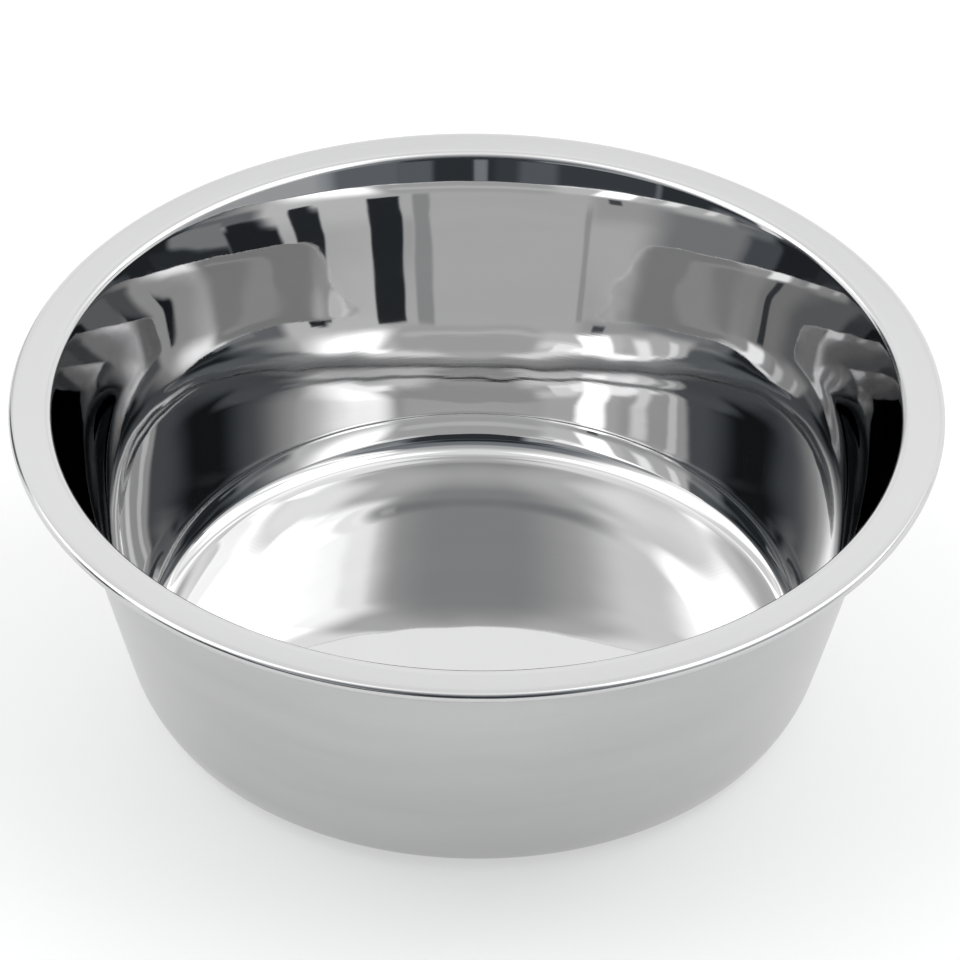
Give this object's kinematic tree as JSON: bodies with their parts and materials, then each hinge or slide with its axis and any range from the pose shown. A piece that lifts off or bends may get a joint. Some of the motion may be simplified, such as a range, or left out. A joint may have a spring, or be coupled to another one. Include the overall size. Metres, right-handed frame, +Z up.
{
  "type": "dog bowl",
  "caption": "Round stainless steel feeding bowl with a conical wall, flat rim with rolled edge, slightly crowned floor and a rubber anti-slip ring under the foot.",
  "frame": {"origin": "centre of the bowl's axis, on the plane it stands on", "axes": "+Z up along the axis of the bowl, towards its mouth; X and Y are equal, the bowl is round"},
  "size_m": [0.22, 0.22, 0.0772],
  "materials": {
    "steel": "mirror polished inside, satin rim and outside",
    "rubber": "matte moulded"
  },
  "bodies": {
    "root": {"bowl_shell": "steel", "anti_slip_ring": "rubber"}
  },
  "joints": []
}
